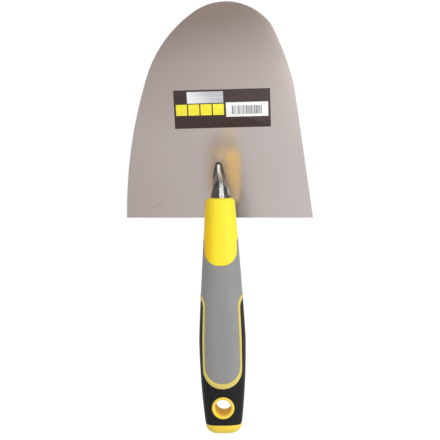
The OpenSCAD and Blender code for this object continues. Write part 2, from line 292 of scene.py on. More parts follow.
class Finish(Nodes):
    """A material with its Principled shader and its Object coordinates."""

    def __init__(self, name):
        self.material = bpy.data.materials.new(name)
        self.material.use_nodes = True
        super().__init__(self.material.node_tree)
        self.shader = self.tree.nodes["Principled BSDF"]
        self.place = self.add("ShaderNodeTexCoord")["Object"]

    def noise(self, scale, detail=3.0, rough=0.5, stretch=None, distort=0.0):
        """Noise in the object's own metres. stretch is how many times finer it is along each axis."""
        place = self.place
        if stretch is not None:
            place = self.add("ShaderNodeMapping", {"Vector": place, "Scale": stretch})[0]
        return self.add("ShaderNodeTexNoise", {"Vector": place, "Scale": scale, "Detail": detail,
                                               "Roughness": rough, "Distortion": distort})["Fac"]

    def marks(self, marks):
        """Each mark has its strength at its middle, and fades out over its half sizes."""
        total = 0.0
        for x, y, half_x, half_y, strength in marks:
            scale = (1 / (half_x * MM), 1 / (half_y * MM), 0)
            shift = (-x / half_x, -y / half_y, 0)
            spot = self.add("ShaderNodeMapping",
                            {"Vector": self.place, "Scale": scale, "Location": shift})[0]
            reach = self.add("ShaderNodeVectorMath", {0: spot}, operation="LENGTH")["Value"]
            total = self.math("ADD", self.ramp(reach, 1.0, 0.0, 0.0, strength), total)
        return total

    def set(self, colour, rough, metallic=0.0, normal=None):
        """Sets the shader. It returns the material."""
        self.feed(self.shader.inputs["Base Color"], colour)
        self.feed(self.shader.inputs["Roughness"], rough)
        self.feed(self.shader.inputs["Metallic"], metallic)
        if normal is not None:
            self.feed(self.shader.inputs["Normal"], normal)
        return self.material


# ======== finishes ========

def painted_collar_reflection(f):
    """How strong the painted reflection of the yellow collar is, from 0 to 1."""
    x, y, _ = f.parts(f.place)
    left, right, rear, front = (edge * MM for edge in REFLECTION_STRIPE)
    stripe = f.product(f.band(x, left, right, 0.003), f.band(y, rear, front, 0.006))
    tint = f.sum(f.marks(PAINTED_COLLAR_REFLECTION), f.product(stripe, STRIPE_STRENGTH))
    uneven = f.ramp(f.noise(150.0, 2.0), 0.3, 0.7, 0.85, 1.1)
    return f.math("MULTIPLY", tint, uneven, clamp=True)


def sheet_colour_and_painted_shade(f, cloud, grain, smear):
    """Warm grey steel with its grain and rubbed marks, paler to the right and darker to the nose as
    painted light and shade.
    """
    x, y, _ = f.parts(f.place)
    # Painted light and shade: the sheet is paler to the right and darker along towards the nose.
    across = f.ramp(x, -0.071, 0.071, -0.25, 0.25, smooth=False)
    along = f.ramp(y, 0.035, 0.13, 0.0, -0.42, smooth=False)
    nose = f.ramp(y, 0.082, 0.137, 0.0, -0.38)
    tone_and_painted_light = f.sum(across, along, nose, f.product(cloud, 0.16))
    tone_and_painted_light = f.math("ADD", tone_and_painted_light, 0.66, clamp=True)
    colour = f.mix(tone_and_painted_light, paint(144, 129, 122), paint(199, 190, 187))
    colour = f.mix(f.product(smear, 0.3), colour, paint(118, 104, 98))
    return f.mix(f.product(grain, 0.08), colour, paint(150, 138, 132))


def satin_steel():
    """The blade: ground sheet steel with a soft cross grain and handling marks, painted light and shade
    across it, and a painted reflection of the yellow collar near the tang.
    """
    f = Finish("satin_steel")
    cloud = f.noise(16.0, distort=0.4)
    grain = f.noise(1.0, 2.0, 0.6, stretch=(60.0, 2600.0, 60.0))
    rubbed = f.noise(120.0, stretch=(1.0, 1.8, 1.0), distort=0.6)
    smear = f.product(f.marks(HANDLING_MARKS), f.ramp(rubbed, 0.4, 0.62))
    painted_reflection_share = painted_collar_reflection(f)
    # The pale gold is a painted reflection of the yellow collar.
    colour = f.mix(painted_reflection_share, sheet_colour_and_painted_shade(f, cloud, grain, smear), paint(236, 192, 122))
    rough = f.sum(f.product(cloud, 0.05), f.product(grain, 0.05), 0.17, f.product(smear, 0.05),
                  f.product(f.marks(HEAT_DULL), 0.14))
    film = f.math("MAXIMUM", f.marks(GREASE), painted_reflection_share)
    pull = f.product(f.parts(f.place)[0], SHEET_PULL)
    normal = f.add("ShaderNodeBump", {"Height": grain, "Strength": 0.05, "Distance": 0.00002,
                                      "Normal": f.bump(pull, 1.0, 1.0)})[0]
    return f.set(colour, rough, f.ramp(film, 0.0, 0.8, 0.96, 0.1), normal)


def forged_steel():
    """The tang's flanks: smooth dark steel with a faint mottle, and dull scale near the weld."""
    f = Finish("forged_steel")
    mottle = f.noise(260.0, 4.0, 0.6)
    scale = f.ramp(f.parts(f.place)[2], 0.008, 0.022, 1.0, 0.0)
    colour = f.mix(mottle, paint(58, 53, 50), paint(94, 91, 91))
    colour = f.mix(f.product(scale, 0.7), colour, paint(52, 46, 43))
    rough = f.sum(f.ramp(mottle, 0.3, 0.7, 0.22, 0.34), f.product(scale, 0.25))
    return f.set(colour, rough, f.ramp(scale, 0.0, 1.0, 1.0, 0.15), f.bump(mottle, 0.12, 0.0001))


def ground_flat():
    """The tang's front flat: bright and coarsely ground, paler and less specked low down as a painted
    highlight, and dark at its toe by the weld.
    """
    f = Finish("ground_flat")
    grit = f.noise(900.0, 3.0, 0.7)
    height = f.parts(f.place)[2]
    # Painted highlight: low down, near the toe, the flat is paler and has fewer specks.
    speck_share_and_painted_highlight = f.ramp(height, 0.02, 0.045, 0.25, 0.8)
    specks = f.product(f.ramp(grit, 0.36, 0.6, 1.0, 0.0), speck_share_and_painted_highlight)
    colour = f.mix(f.ramp(height, 0.014, 0.026), paint(252, 252, 251), paint(222, 223, 220))
    colour = f.mix(specks, colour, paint(128, 128, 128))
    colour = f.mix(f.ramp(height, 0.003, 0.0042, 1.0, 0.0), colour, paint(70, 64, 60))
    rough = f.ramp(f.noise(220.0, 2.0), 0.3, 0.7, 0.4, 0.52)
    return f.set(colour, rough, f.ramp(height, 0.015, 0.04, 0.05, 0.85), f.bump(grit, 0.35, 0.0002))


def weld_steel():
    """The weld bead: dull and dark."""
    f = Finish("weld_steel")
    mottle = f.noise(500.0, 3.0, 0.6)
    colour = f.mix(mottle, paint(66, 60, 56), paint(112, 105, 100))
    return f.set(colour, f.ramp(mottle, 0.3, 0.7, 0.25, 0.4), 1.0, f.bump(mottle, 0.2, 0.0001))


def moulded_yellow(name, deep, bright, gloss, shine=0.35, side=None):
    """Moulded plastic: a little deeper in places, with a very fine mould skin. side is a warmer
    colour painted on its left flank as painted shade."""
    f = Finish(name)
    mould_skin = f.noise(1600.0, 2.0, 0.6)
    colour = f.mix(f.noise(60.0, 2.0), deep, bright)
    # Painted shade: the left flank turns towards the warmer side colour.
    if side is not None:
        colour = f.mix(f.ramp(f.parts(f.place)[0], -0.009, 0.0, 1.0, 0.0), colour, side)
    f.shader.inputs["Specular IOR Level"].default_value = shine
    rough = f.ramp(mould_skin, 0.3, 0.7, gloss, gloss + 0.06)
    return f.set(colour, rough, normal=f.bump(mould_skin, 0.08, 0.00005))


def soft_rubber(name, dark, light, gloss, dust, shine=0.22):
    """Soft moulded grip: matt, finely grained, with a trace of dust in the grain."""
    f = Finish(name)
    grain = f.noise(1300.0, 3.0, 0.6)
    dusty = f.product(f.ramp(grain, 0.6, 0.75), dust)
    colour = f.mix(dusty, f.mix(f.noise(45.0), dark, light), paint(190, 188, 186))
    f.shader.inputs["Specular IOR Level"].default_value = shine
    rough = f.ramp(grain, 0.3, 0.7, gloss, gloss + 0.1)
    return f.set(colour, rough, normal=f.bump(grain, 0.18, 0.00008))


def printed_film():
    """The label: a dark ground with a silver panel, four yellow squares and a white panel."""
    f = Finish("printed_film")
    u, v, _ = f.parts(f.add("ShaderNodeUVMap", uv_map="print")[0])

    def panel(left, right, low, high):
        """1 inside one panel of the print, with slightly soft edges."""
        return f.product(f.band(u, left, right, 0.003), f.band(v, low, high, 0.007))

    colour = f.mix(f.noise(900.0, 2.0), paint(58, 45, 43), paint(72, 58, 55))
    silver = panel(*SILVER_PANEL)
    glare = f.ramp(f.sum(u, f.product(v, 0.35)), 0.38, 0.72)
    colour = f.mix(silver, colour, f.mix(glare, paint(246, 244, 248), paint(196, 196, 200)))
    rule = f.product(silver, f.band(v, *SILVER_RULE, 0.007), 0.5)
    colour = f.mix(rule, colour, paint(250, 250, 250))

    left, right, low, high = SQUARES
    step = f.math("DIVIDE", f.math("SUBTRACT", u, left), (right - left) / SQUARE_COUNT)
    row = f.product(f.band(u, left, right, 0.0015), f.band(v, low, high, 0.007))
    squares = f.product(f.band(f.math("FRACT", step), 0.05, 0.95, 0.02), row)
    colour = f.mix(squares, colour, paint(255, 243, 72))

    colour = f.mix(panel(*WHITE_PANEL), colour, paint(250, 249, 249))
    f.shader.inputs["Specular IOR Level"].default_value = 0.2
    return f.set(colour, 0.34, normal=f.bump(f.noise(70.0, 2.0), 0.05, 0.0004))


def print_ink():
    """The label's bars: grey ink, a little uneven."""
    f = Finish("print_ink")
    return f.set(f.mix(f.noise(1500.0, 2.0), paint(104, 98, 98), paint(140, 134, 134)), 0.4)


STEEL = satin_steel()
FORGED = forged_steel()
GROUND = ground_flat()
WELD = weld_steel()
# The collar's deep orange left flank is painted shade.
YELLOW = moulded_yellow("collar_yellow", paint(255, 231, 44), paint(255, 237, 62), 0.3, 0.22,
                        side=paint(255, 204, 4))
TRIM = moulded_yellow("trim_yellow", paint(250, 212, 66), paint(255, 224, 84), 0.36)
# The piping's duller, greyer yellow is the core's yellow with painted shade.
SHADED_PIPING_YELLOW = moulded_yellow("piping_yellow", paint(216, 197, 100), paint(226, 207, 114), 0.36)
# The bore's yellow is a brighter copy of the eyelet's yellow: painted light in the hole.
BRIGHTENED_BORE_YELLOW = moulded_yellow("bore_yellow", paint(252, 216, 78), paint(255, 226, 92), 0.6, 0.1)
GREY = soft_rubber("grey_soft", paint(143, 142, 142), paint(151, 150, 149), 0.42, 0.06)
BLACK = soft_rubber("black_soft", paint(30, 29, 30), paint(37, 36, 37), 0.5, 0.02, 0.1)
FILM = printed_film()
INK = print_ink()


# ======== meshes ========

def put_in_scene(name, data):
    """A new object at the origin with this data."""
    made = bpy.data.objects.new(name, data)
    bpy.context.scene.collection.objects.link(made)
    return made


def set_smooth(mesh, sharp):
    """Smooth shading, with hard edges where faces turn by more than sharp degrees."""
    mesh.shade_smooth()
    mesh.set_sharp_from_angle(angle=math.radians(sharp))


def mesh_piece(name, points, faces, materials, face_slots=None, sharp=40):
    """An object at the origin from points in metres. Faces point outwards as they are given."""
    mesh = bpy.data.meshes.new(name)
    mesh.from_pydata([tuple(p) for p in points], [], faces)
    for material in materials:
        mesh.materials.append(material)
    if face_slots is not None:
        mesh.polygons.foreach_set("material_index", face_slots)
    mesh.validate()
    set_smooth(mesh, sharp)
    return put_in_scene(name, mesh)


def compact_piece(name, points, faces, materials, face_slots=None):
    """A piece with only the points that its faces use."""
    used = sorted({k for f in faces for k in f})
    order = {k: n for n, k in enumerate(used)}
    faces = [tuple(order[k] for k in f) for f in faces]
    return mesh_piece(name, points[used], faces, materials, face_slots)


def over_rings(count, n, start=0):
    """Faces of a closed skin over count rings of n points, which turn anticlockwise seen from the
    last ring's end."""
    faces = []
    last = start + (count - 1) * n
    for k in range(start, last, n):
        for i in range(n):
            j = (i + 1) % n
            faces.append((k + i, k + j, k + n + j, k + n + i))
    faces.append(tuple(range(start + n - 1, start - 1, -1)))
    faces.append(tuple(range(last, last + n)))
    return faces


def finish_piece(piece, slot, *nodes):
    """The piece rides on the part's one body and stands for its CAD nodes. slot is not used."""
    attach(piece, "root")
    if nodes:
        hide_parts(*nodes)


def turned(points, angle):
    """Points turned about Z, anticlockwise from above."""
    c, s = math.cos(angle), math.sin(angle)
    points = np.asarray(points, float)
    return np.stack([points[:, 0] * c - points[:, 1] * s,
                     points[:, 0] * s + points[:, 1] * c,
                     points[:, 2]], axis=1)


def on_handle(points):
    """Points from the handle's own millimetres (right, top, along) to the row frame's metres."""
    points = np.asarray(points, float)
    c, s = math.cos(HANDLE_TILT), math.sin(HANDLE_TILT)
    x = points[:, 0] + HANDLE_SHIFT
    y = points[:, 1] * s - points[:, 2] * c + HANDLE_AHEAD
    z = points[:, 1] * c + points[:, 2] * s + HANDLE_RISE
    return turned(np.stack([x, y, z], axis=1), HANDLE_TURN) * MM


# ======== the handle's skin ========

def swell(s, front, belly, butt):
    """Half of a size that grows from the front end to the belly and shrinks to the butt."""
    ahead = np.clip(1 - s / BELLY_S, 0, None)
    behind = (s - BELLY_S) / (HANDLE_L - BELLY_S)
    return np.where(s < BELLY_S, belly - (belly - front) * ahead ** SWELL_POWER,
                    belly - (belly - butt) * behind ** 2) / 2


def corner(d, r):
    """How far an end's rounding draws the skin in, at the distance d from that end."""
    return np.where(d >= r, 0.0, r - np.sqrt(np.clip(r * r - (r - d) ** 2, 0, None)))


def half_sizes(s, depth=0.0):
    """Half the handle's width and depth at s, at a depth below its skin."""
    inset = corner(s, FRONT_R) + corner(HANDLE_L - s, BUTT_R) + depth
    return swell(s, FRONT_W, BELLY_W, BUTT_W) - inset, swell(s, FRONT_D, BELLY_D, BUTT_D) - inset


def power_at(s):
    """How square the section is at s."""
    return FRONT_POWER + (BUTT_POWER - FRONT_POWER) * s / HANDLE_L


def skin(phi, s, depth=0.0):
    """Points of the handle's skin, at the angle phi from its right side over its top."""
    phi = np.asarray(phi, float)
    s = np.asarray(s, float) + 0 * phi
    half_w, half_d = half_sizes(s, depth)
    n = power_at(s)
    c, t = np.cos(phi), np.sin(phi)
    size = (np.abs(c) ** n + np.abs(t) ** n) ** (-1 / n)
    return np.stack([half_w * c * size, half_d * t * size, s], axis=1)


def skin_out(phi, s):
    """Outward directions of the handle's skin."""
    low = np.clip(s - RUN_STEP, 0, None)
    high = np.clip(s + RUN_STEP, None, HANDLE_L)
    across = skin(phi + PHI_STEP, s) - skin(phi - PHI_STEP, s)
    along = skin(phi, high) - skin(phi, low)
    out = np.cross(across, along)
    return out / np.linalg.norm(out, axis=1)[:, None]


def top_angle(x, s):
    """The angle at which the skin's top stands over x."""
    half_w, _ = half_sizes(s)
    n = power_at(s)
    part = np.clip(np.abs(x) / half_w, 0, 1)
    rise = np.clip(1 - part ** n, 0, 1) ** (1 / n)
    return np.arctan2(rise, np.sign(x) * part)


def evenly(points, count):
    """count + 1 points spread evenly over a line."""
    points = np.asarray(points, float)
    run = np.concatenate([[0], np.cumsum(np.linalg.norm(np.diff(points, axis=0), axis=1))])
    want = np.linspace(0, run[-1], count + 1)
    return np.stack([np.interp(want, run, points[:, k]) for k in range(points.shape[1])], axis=1)


def arc(cx, cy, r, start, stop, count=LEG_POINTS):
    """Points on an arc about (cx, cy), from start to stop degrees."""
    turn = np.radians(np.linspace(start, stop, count))
    return np.stack([cx + r * np.cos(turn), cy + r * np.sin(turn)], axis=1)


def line(a, b):
    return np.linspace(a, b, LEG_POINTS)


def seam_from_plan(legs, counts, base):
    """A seam all round the handle. legs are the lines of its right half on top, from the side to
    the middle, and below it runs straight across at base."""
    first = legs[0]
    inside = first[:, 0] < half_sizes(first[:, 1])[0] - 1e-6
    legs = [first[inside], *legs[1:]]
    half = []
    for leg, count in zip(legs, counts):
        phi = top_angle(leg[:, 0], leg[:, 1])
        flat = np.stack([phi * ACROSS, leg[:, 1]], axis=1)
        if leg is legs[0]:
            flat = np.concatenate([[[0.0, flat[0, 1]]], flat])
        spread = evenly(flat, count)
        half.append(spread if not half else spread[1:])
    half = np.concatenate(half)
    half[-1, 0] = ACROSS * math.pi / 2
    side_s = half[0, 1]
    mirrored = half[::-1].copy()
    mirrored[:, 0] = ACROSS * math.pi - mirrored[:, 0]

    def below(phi, side_phi):
        """The seam's part below, which runs from its height at one side into base."""
        ease = np.exp(-((phi - side_phi) * ACROSS / SIDE_EASE) ** 2)
        return np.stack([phi * ACROSS, base + (side_s - base) * ease], axis=1)

    right = below(np.linspace(SLIT, 0, BELOW_RIGHT_POINTS)[:-1], 0)
    left = below(np.linspace(math.pi, 2 * math.pi + SLIT, BELOW_LEFT_POINTS)[1:], math.pi)
    whole = np.concatenate([right, half, mirrored[1:], left])
    for _ in range(SEAM_SMOOTHING):
        whole[1:-1] = (whole[:-2] + 2 * whole[1:-1] + whole[2:]) / 4
    whole[0, 1] = base
    whole[-1, 1] = base
    return whole


def collar_seam():
    """The collar's rear edge, with the tongue that runs back over the grey grip."""
    edge = TONGUE_W / 2
    legs = [arc(edge + ROOT_R, COLLAR_L + ROOT_R, ROOT_R, 270, 180),
            line((edge, COLLAR_L + ROOT_R), (edge, TONGUE_END - TONGUE_R)),
            arc(edge - TONGUE_R, TONGUE_END - TONGUE_R, TONGUE_R, 0, 90),
            line((edge - TONGUE_R, TONGUE_END), (0, TONGUE_END))]
    return seam_from_plan(legs, [5, 14, 22, 4], COLLAR_L)


def panel_seam(side):
    """The piping's edge next to the grey grip, -1, or next to the black one, 1."""
    out = side * PIPING_W / 2
    edge = PANEL_FRONT_W / 2 + out
    belly = PANEL_BELLY_W / 2 + out
    end_r = PANEL_R + out
    end = PANEL_END + side * PIPING_END_W / 2
    base = GREY_L + out
    legs = [arc(edge + SHOULDER_R, base + SHOULDER_R, SHOULDER_R, 270, 180),
            line((edge, base + SHOULDER_R), (edge, PANEL_START)),
            line((edge, PANEL_START), (belly, BELLY_S)),
            line((belly, BELLY_S), (belly, end - end_r)),
            arc(belly - end_r, end - end_r, end_r, 0, 90),
            line((belly - end_r, end), (0, end))]
    return seam_from_plan(legs, [12, 8, 28, 26, 26, 4], base)


def hole_edges(extra=0.0, count=64):
    """The round edge that the eyelet sits in, on top and below, laid out flat."""
    turn = np.linspace(0, 2 * math.pi, count, endpoint=False)
    r = EYELET_R + EYELET_GAP + extra
    x = r * np.cos(turn)
    s = HANG_S + r * np.sin(turn)
    phi = top_angle(x, s)
    return [np.stack([phi * ACROSS, s], axis=1),
            np.stack([(2 * math.pi - phi) * ACROSS, s], axis=1)]


def beside(seam, gap):
    """The seam moved by gap on the skin, towards the butt when gap is positive."""
    phi, s = seam[:, 0] / ACROSS, seam[:, 1]
    span = np.linalg.norm(skin(phi + PHI_STEP, s) - skin(phi - PHI_STEP, s), axis=1)
    width = span / (2 * PHI_STEP * ACROSS)
    lead = np.gradient(seam, axis=0)
    lead[0, 1] = 0
    lead[-1, 1] = 0
    across = -lead[:, 1] / width ** 2
    along = lead[:, 0].copy()
    size = np.sqrt(width ** 2 * across ** 2 + along ** 2)
    return np.stack([seam[:, 0] + gap * across / size, s + gap * along / size], axis=1)


def within(points, loop):
    """Which points lie inside a closed line."""
    inside = np.zeros(len(points), bool)
    px, py = points[:, 0], points[:, 1]
    for a, b in zip(loop, np.roll(loop, -1, axis=0)):
        if a[1] == b[1]:
            continue
        crosses = (a[1] > py) != (b[1] > py)
        at = a[0] + (py - a[1]) * (b[0] - a[0]) / (b[1] - a[1])
        inside ^= crosses & (px < at)
    return inside


def distance_to(points, path):
    """Distance of each point to a line, in the plane or in space."""
    best = np.full(len(points), 1e9)
    for a, b in zip(path[:-1], path[1:]):
        run = b - a
        part = np.clip((points - a) @ run / (run @ run), 0, 1)
        best = np.minimum(best, np.linalg.norm(points - a - part[:, None] * run, axis=1))
    return best


def ahead_of(seam):
    """Closed line round everything ahead of a seam."""
    return np.concatenate([seam, [[seam[-1, 0], AHEAD_OF_ALL], [seam[0, 0], AHEAD_OF_ALL]]])


SEAM_COLLAR = collar_seam()
SEAM_GREY = panel_seam(-1)
SEAM_BLACK = panel_seam(1)
SEAMS = [SEAM_COLLAR, SEAM_GREY, SEAM_BLACK]
HOLES = hole_edges()


def coarse_grid():
    """Points spread over the flat skin, clear of the seams, the piping and the hole."""
    rows = [FRONT_R * (1 - math.cos(math.radians(turn))) for turn in range(0, 90, 10)]
    rows += list(np.linspace(FRONT_R, CAP_S, SKIN_ROWS))
    columns = np.linspace(SLIT_NEAR, SLIT_FAR, SKIN_COLUMNS)
    grid = np.array([(u, s) for s in rows for u in columns])
    keep = np.ones(len(grid), bool)
    for seam in SEAMS:
        keep &= distance_to(grid, seam) > SEAM_CLEAR
    for loop in HOLES:
        closed = np.concatenate([loop, loop[:1]])
        keep &= (distance_to(grid, closed) > HOLE_CLEAR) & ~within(grid, loop)
    piping = within(grid, ahead_of(SEAM_BLACK)) & ~within(grid, ahead_of(SEAM_GREY))
    return grid[keep & ~piping]


def fine_lines():
    """Lines beside the seams and round the hole, and along the piping, where the skin bends."""
    sides = [(SEAM_COLLAR, 1), (SEAM_COLLAR, -1), (SEAM_GREY, -1), (SEAM_BLACK, 1)]
    made = [beside(seam, side * gap) for seam, side in sides for gap in FINE_GAPS]
    made += [SEAM_GREY + (SEAM_BLACK - SEAM_GREY) * share for share in PIPING_SHARES]
    for gap in FINE_GAPS:
        made += hole_edges(gap)
    return made


def flat_skin():
    """The skin from the front to the butt cap, cut along the seams into triangles: its flat
    points, its faces and the region that each is in."""
    points = list(coarse_grid())
    for path in fine_lines():
        points += list(path)
    edges = []
    for path, closed in [(seam, False) for seam in SEAMS] + [(loop, True) for loop in HOLES]:
        start = len(points)
        points += list(path)
        edges += [(k, k + 1) for k in range(start, len(points) - 1)]
        if closed:
            edges.append((len(points) - 1, start))
    points = np.array(points)
    for edge in (SLIT_NEAR, SLIT_FAR):
        points[np.abs(points[:, 0] - edge) < 1e-6, 0] = edge
    made = delaunay_2d_cdt([Vector(p) for p in points], edges, [], 0, 1e-7)
    flat = np.array([tuple(p) for p in made[0]])
    faces = np.array([f for f in made[2] if len(f) == 3])

    # The slit is closed: each point on its far side becomes the one on its near side.
    near = {round(s, 5): k for k, (u, s) in enumerate(flat) if abs(u - SLIT_NEAR) < 1e-5}
    join = np.arange(len(flat))
    for k, (u, s) in enumerate(flat):
        if abs(u - SLIT_FAR) < 1e-5:
            join[k] = near[round(s, 5)]
    corners = flat[faces]
    middles = corners.mean(axis=1)
    turn = np.cross(corners[:, 1] - corners[:, 0], corners[:, 2] - corners[:, 0])
    faces[turn < 0] = faces[turn < 0][:, ::-1]
    real = np.abs(turn) > 1e-9
    region = np.full(len(faces), IN_BLACK)
    region[within(middles, ahead_of(SEAM_BLACK))] = IN_PIPING
    region[within(middles, ahead_of(SEAM_GREY))] = IN_GREY
    region[within(middles, ahead_of(SEAM_COLLAR))] = IN_COLLAR
    region[within(middles, HOLES[0]) | within(middles, HOLES[1])] = IN_HOLE
    return flat, join[faces[real]], region[real]


FLAT, CUTS, REGION = flat_skin()
PHI, RUN = FLAT[:, 0] / ACROSS, FLAT[:, 1]
OUT = skin_out(PHI, RUN)
BASE = skin(PHI, RUN)
DEEP = skin(PHI, RUN, GRIP_T)


def rounded(gap, r):
    """How far a rounded edge falls away at a distance from its seam."""
    near = np.clip(gap, 0, r)
    return -(r - np.sqrt(r * r - (r - near) ** 2))


def top_of(region):
    """Points of one material's top, with its edges rounded."""
    used = np.unique(CUTS[REGION == region])
    rise = np.zeros(len(BASE))
    in_space = [skin(seam[:, 0] / ACROSS, seam[:, 1]) for seam in SEAMS]
    collar, grey, black = [distance_to(BASE[used], seam) for seam in in_space]
    if region == IN_COLLAR:
        rise[used] = rounded(collar, HARD_EDGE_R)
    if region == IN_GREY:
        rise[used] = rounded(np.minimum(collar, grey), SOFT_EDGE_R)
    if region == IN_PIPING:
        share = grey / np.maximum(grey + black, 1e-9)
        crown = np.sin(np.pi * np.clip(share, 0, 1)) ** PIPING_POWER
        rise[used] = -PIPING_EDGE + (PIPING_PROUD + PIPING_EDGE) * crown
    if region == IN_BLACK:
        rim = CAP_S - RUN[used]
        rise[used] = rounded(np.minimum(black, rim), SOFT_EDGE_R)
    return BASE + OUT * rise[:, None]


# ======== pieces ========

def grip_shell(name, region, material):
    """One soft grip: its rounded top, its underside on the core and the walls at its seams."""
    count = len(BASE)
    points = np.concatenate([on_handle(top_of(region)), on_handle(DEEP)])
    cuts = CUTS[REGION == region]
    faces = [tuple(f) for f in cuts] + [(c + count, b + count, a + count) for a, b, c in cuts]
    edges = {edge: True for a, b, c in cuts for edge in ((a, b), (b, c), (c, a))}
    faces += [(b, a, a + count, b + count) for a, b in edges if (b, a) not in edges]
    return compact_piece(name, points, faces, [material])


def prong_section(angles, s, grow=0.0):
    """The prong's section at s, nearly square at its corners, and larger by grow all round."""
    part = (1 + (PRONG_TAPER - 1) * max(s, 0) / PRONG_L) / 2
    wide, deep = PRONG_W * part + grow, PRONG_D * part + grow
    c, t = np.cos(angles), np.sin(angles)
    size = (np.abs(c) / wide) ** PRONG_POWER + (np.abs(t) / deep) ** PRONG_POWER
    size = size ** (-1 / PRONG_POWER)
    return np.stack([c * size, t * size, np.full(len(angles), float(s))], axis=1)


def handle_core():
    """The hard core: its collar in front, the piping, and the body below the grips, with the hole
    for the eyelet and the pocket for the prong."""
    count = len(BASE)
    lifts = np.where(np.isin(REGION, (IN_COLLAR, IN_PIPING)), 0, count)
    live = REGION != IN_HOLE
    tops = top_of(IN_COLLAR)
    piping = np.unique(CUTS[REGION == IN_PIPING])
    tops[piping] = top_of(IN_PIPING)[piping]
    points = [*on_handle(tops), *on_handle(DEEP)]
    faces = []
    slots = []
    edges = {}
    for (a, b, c), lift, region in zip(CUTS[live], lifts[live], REGION[live]):
        faces.append((a + lift, b + lift, c + lift))
        slots.append(1 if region == IN_PIPING else 0)
        for edge in ((a, b), (b, c), (c, a)):
            edges[edge] = lift
    for (a, b), lift in edges.items():
        if lift == 0 and edges.get((b, a)) == count:
            faces.append((b, a, a + count, b + count))
    open_edges = {a: (b, lift) for (a, b), lift in edges.items() if (b, a) not in edges}

    def ring_at(test):
        """The open ring whose points pass the test, in order."""
        start = min(a for a in open_edges if test(a))
        ring = [start]
        while open_edges[ring[-1]][0] != start:
            ring.append(open_edges[ring[-1]][0])
        return [k + open_edges[k][1] for k in ring]

    def bridge(ring, next_ring):
        """Joins two rings of as many points."""
        for k in range(len(ring)):
            after = (k + 1) % len(ring)
            faces.append((ring[after], ring[k], next_ring[k], next_ring[after]))

    ring = ring_at(lambda k: RUN[k] < 1e-6)
    angles = PHI[ring]
    pocket = [(0, POCKET_LEAD_IN), (0, POCKET_GAP), (PRONG_L / 2, POCKET_GAP),
              (PRONG_L + POCKET_OVER, POCKET_GAP)]
    for s, grow in pocket:
        begin = len(points)
        points.extend(on_handle(prong_section(angles, s, grow)))
        following = list(range(begin, len(points)))
        bridge(ring, following)
        ring = following
    faces.append(tuple(reversed(ring)))
    rear = ring_at(lambda k: RUN[k] > CAP_S - 1e-6)
    faces.append(tuple(reversed(rear)))

    # The hole's wall runs straight through, so each point on top goes to the one right below it.
    top = ring_at(lambda k: abs(RUN[k] - HANG_S) < HOLE_REACH and math.sin(PHI[k]) > 0)
    below = ring_at(lambda k: abs(RUN[k] - HANG_S) < HOLE_REACH and math.sin(PHI[k]) < 0)
    spots = BASE[np.array(below) - count][:, [0, 2]]
    nearest = [int(np.argmin(np.linalg.norm(spots - BASE[k - count][[0, 2]], axis=1))) for k in top]
    bridge(top, [below[k] for k in nearest])
    slots += [0] * (len(faces) - len(slots))
    # The piping's faces take the duller yellow, which is painted shade.
    return compact_piece("handle_core_moulding", np.array(points), faces, [YELLOW, SHADED_PIPING_YELLOW], slots)


def butt_cap():
    """The yellow end of the handle, with its rounded end."""
    rows = [(CAP_S + gap, float(rounded(np.array(gap), CAP_EDGE_R))) for gap in CAP_EDGE_ROWS]
    rows += [(CAP_S + 2 * CAP_EDGE_R, 0.0)]
    turns = np.radians(range(75, -1, -5))
    rows += [(HANDLE_L - BUTT_R * (1 - math.cos(turn)), 0.0) for turn in turns]
    phi = np.linspace(0, 2 * math.pi, CAP_SIDES, endpoint=False)
    rings = []
    for s, rise in rows:
        spots = np.full(len(phi), min(s, HANDLE_L))
        out = skin_out(phi, np.clip(spots, 0, HANDLE_L - 0.05))
        rings.append(skin(phi, spots, CAP_IN) + out * rise)
    last = skin(phi, np.full(len(phi), HANDLE_L), CAP_IN)
    for share in CAP_END_SHARES:
        shrunk = last * share
        shrunk[:, 2] = HANDLE_L
        rings.append(shrunk)
    points = on_handle(np.concatenate(rings))
    faces = over_rings(len(rings), len(phi))
    return mesh_piece("butt_cap_moulding", points, faces, [TRIM], sharp=50)


def mix(a, b, t):
    """The value t of the way from a to b."""
    return a + (b - a) * t


def neck_line(t):
    """Point and direction (ahead, up) of the neck's middle line."""
    bend = (HANDLE_AHEAD - BEND_R * math.sin(HANDLE_TILT), HANDLE_RISE - BEND_R * math.cos(HANDLE_TILT))
    top = (bend[0] + BEND_R, bend[1])

    def rise_point(q):
        """A point of the rise, which starts upright on the blade and ends upright below the bend."""
        a = (1 - q) ** 3 + 3 * q * (1 - q) ** 2
        up = 3 * q * (1 - q) ** 2 * LOW_SHARE + 3 * q * q * (1 - q) * HIGH_SHARE + q ** 3
        return (top[0] * (1 - a), BLADE_T + (top[1] - BLADE_T) * up)

    if t < RISE_SHARE:
        q = t / RISE_SHARE
        spot = rise_point(q)
        if q <= 0:
            return spot, (0.0, 1.0)
        before, after = rise_point(max(0, q - 0.01)), rise_point(min(1, q + 0.01))
        run = (after[0] - before[0], after[1] - before[1])
        size = math.hypot(*run)
        return spot, (run[0] / size, run[1] / size)
    angle = (math.pi / 2 - HANDLE_TILT) * (t - RISE_SHARE) / (1 - RISE_SHARE)
    spot = (bend[0] + BEND_R * math.cos(angle), bend[1] + BEND_R * math.sin(angle))
    return spot, (-math.sin(angle), math.cos(angle))


def neck_half(edge, half_w, half_d):
    """Half of the neck's section, from the edge of its front flat to its back."""
    return [(edge, half_d)] + [(mix(edge, half_w, e[0]), e[1] * half_d) for e in NECK_EDGES]


def neck_outline(half_w, half_d, flat_w, aside=0.0):
    """The neck's section, clockwise from the right edge of its front flat, which is moved aside.
    Its edges aren't eased yet."""
    right = neck_half(flat_w / 2 + aside, half_w, half_d)
    left = neck_half(flat_w / 2 - aside, half_w, half_d)
    return right + [(-x, y) for x, y in reversed(left)]


